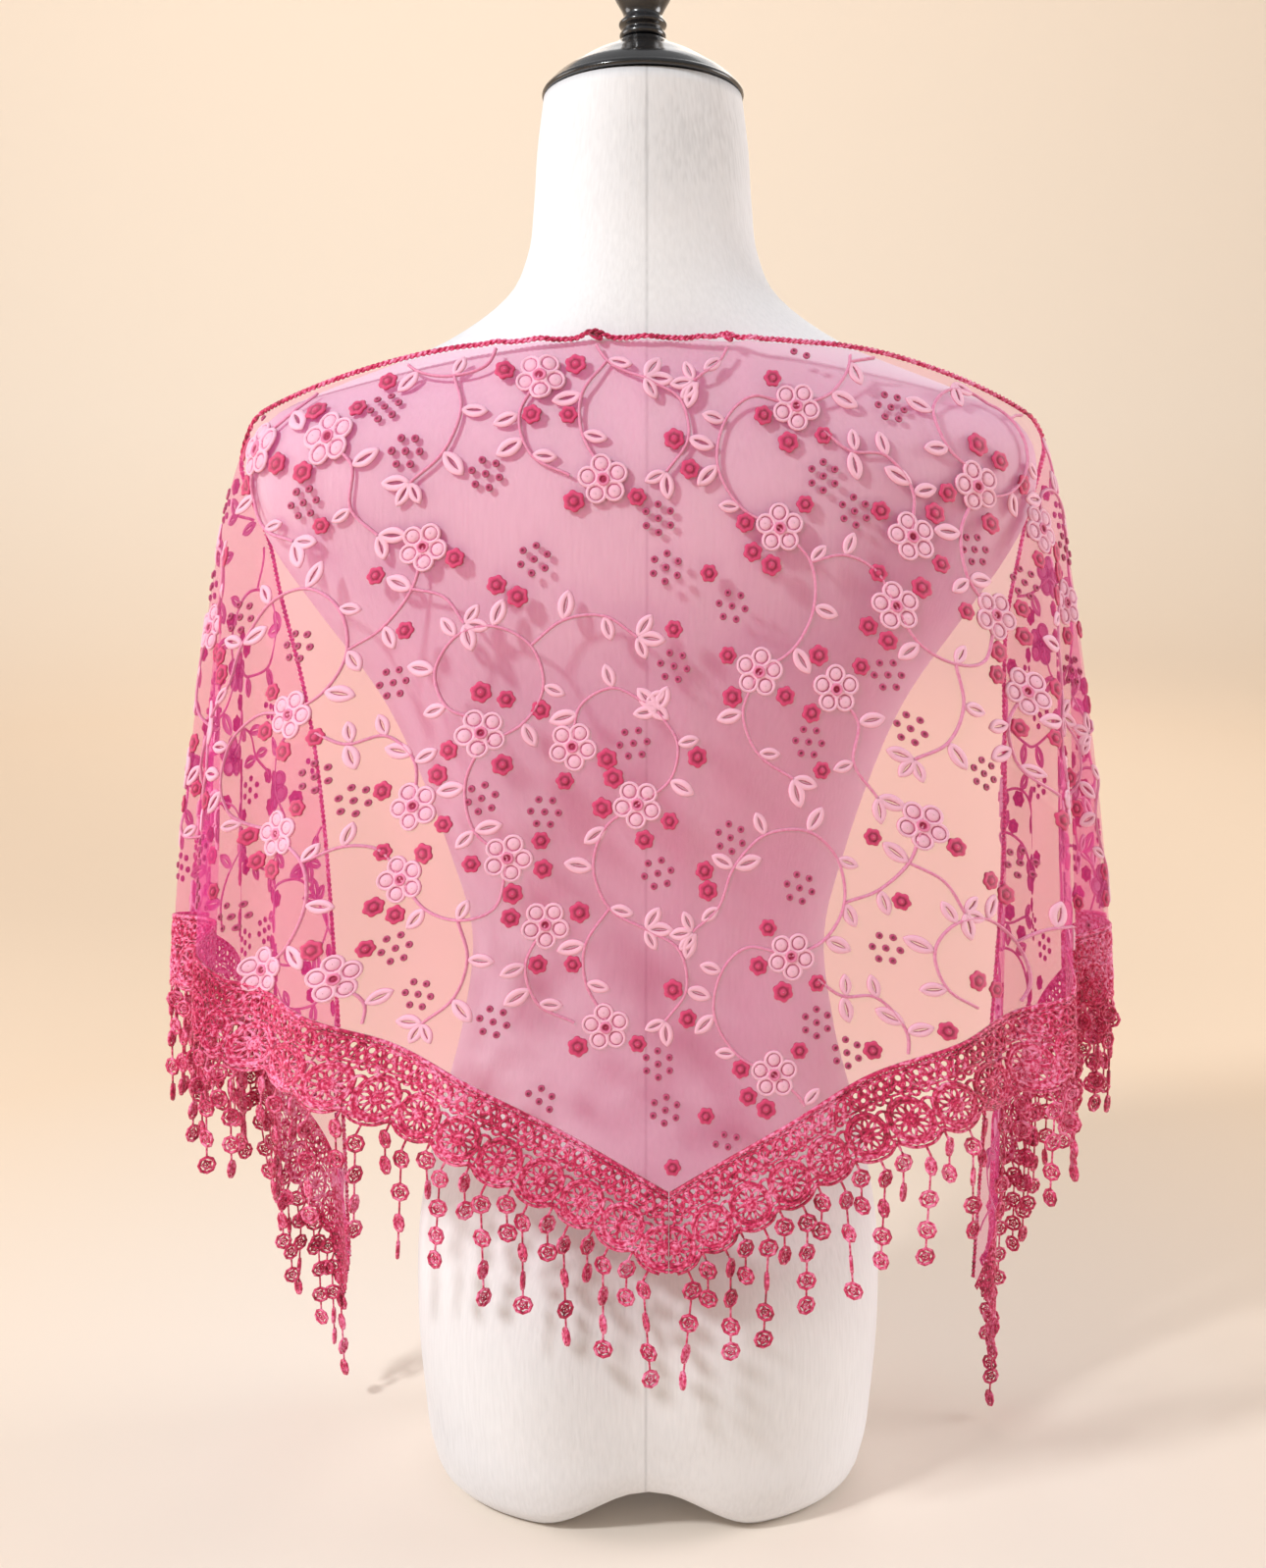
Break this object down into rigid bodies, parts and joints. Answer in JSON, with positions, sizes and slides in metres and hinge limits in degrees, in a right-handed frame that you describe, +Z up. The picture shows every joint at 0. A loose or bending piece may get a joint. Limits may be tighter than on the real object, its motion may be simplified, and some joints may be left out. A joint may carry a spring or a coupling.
{
  "type": "shawl on dress form",
  "caption": "Triangular net shawl with a scalloped lace border and ring tassels, worn over the shoulders of a limbless dress form with a turned neck cap.",
  "frame": {"origin": "middle of the whole part's box, on the floor that the dress form stands on", "axes": "+Z up, +Y towards the form's front, +X to the right when seen from behind"},
  "size_m": [0.5251, 0.248, 0.8406],
  "materials": {
    "form_white": "smooth white jersey over a hard form",
    "turned_black": "gloss black",
    "net_pink": "sheer hot pink net with embroidery",
    "lace_pink": "deep pink corded lace",
    "fringe_pink": "deep pink lace rings on thread"
  },
  "bodies": {
    "root": {"form_hips": "form_white", "form_bust": "form_white", "neck_cap": "turned_black", "finial": "turned_black", "net_back": "net_pink", "net_left": "net_pink", "net_right": "net_pink", "top_edge_braid": "lace_pink", "lace_border_left": "lace_pink", "lace_border_right": "lace_pink", "fringe_left": "fringe_pink", "fringe_right": "fringe_pink"}
  },
  "joints": []
}
